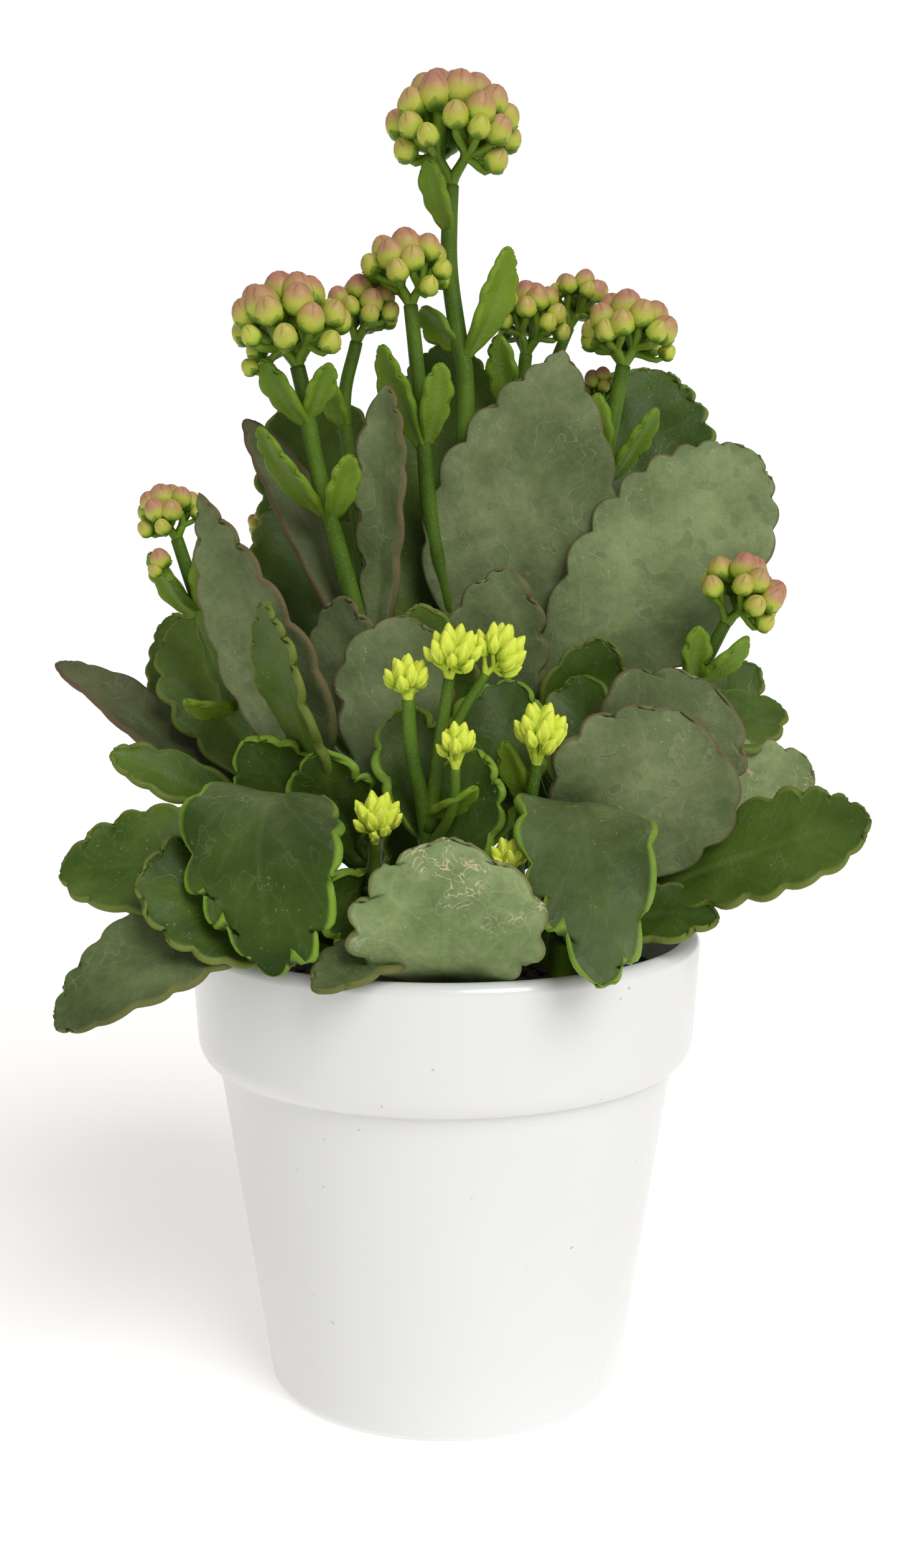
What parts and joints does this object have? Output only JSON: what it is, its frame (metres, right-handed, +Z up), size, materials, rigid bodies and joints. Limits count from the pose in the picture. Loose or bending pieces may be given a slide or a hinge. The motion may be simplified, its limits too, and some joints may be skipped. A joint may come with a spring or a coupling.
{
  "type": "flowering kalanchoe in a pot",
  "caption": "Flowering kalanchoe in bud: thick scalloped leaves and stalked bud heads on stems in peat, standing in a plain white glazed pot with a deep collar.",
  "frame": {"origin": "centre of the pot's foot, on the surface that the pot stands on", "axes": "+Z up; -Y is the plant's front, the side seen in the reference picture; +X is to its right"},
  "size_m": [0.2114, 0.1749, 0.3482],
  "materials": {
    "white_glaze": "white glazed stoneware, satin gloss",
    "peat": "dark damp potting peat, rough",
    "leaf_green": "thick fleshy green leaf and stem, soft gloss with a dusty bloom",
    "bud_lime_pink": "closed flower buds, yellow-green with dusty pink tops"
  },
  "bodies": {
    "root": {"pot": "white_glaze", "peat": "peat", "shoot_left": "leaf_green", "shoot_left_back": "leaf_green", "shoot_centre": "leaf_green", "shoot_right_back": "leaf_green", "shoot_right_front": "leaf_green", "shoot_front_left": "leaf_green", "shoot_front_centre": "leaf_green", "shoot_back_left": "leaf_green", "shoot_back_right": "leaf_green", "buds_left_top": "bud_lime_pink", "bud_left_side": "bud_lime_pink", "buds_left_back_top": "bud_lime_pink", "buds_left_back_inner": "bud_lime_pink", "buds_left_back_low": "bud_lime_pink", "buds_left_back_outer": "bud_lime_pink", "buds_centre_top": "bud_lime_pink", "buds_centre_left": "bud_lime_pink", "buds_centre_right": "bud_lime_pink", "buds_centre_right_back": "bud_lime_pink", "buds_right_top": "bud_lime_pink", "buds_right_back": "bud_lime_pink", "buds_right_front_top": "bud_lime_pink", "buds_right_front_inner": "bud_lime_pink", "buds_right_front_low": "bud_lime_pink", "buds_front_left_low": "bud_lime_pink", "buds_front_left_stalk": "bud_lime_pink", "buds_front_middle_stalk": "bud_lime_pink", "buds_front_right_stalk": "bud_lime_pink", "buds_front_low_stalk": "bud_lime_pink", "buds_back_left": "bud_lime_pink", "buds_back_right": "bud_lime_pink"}
  },
  "joints": []
}
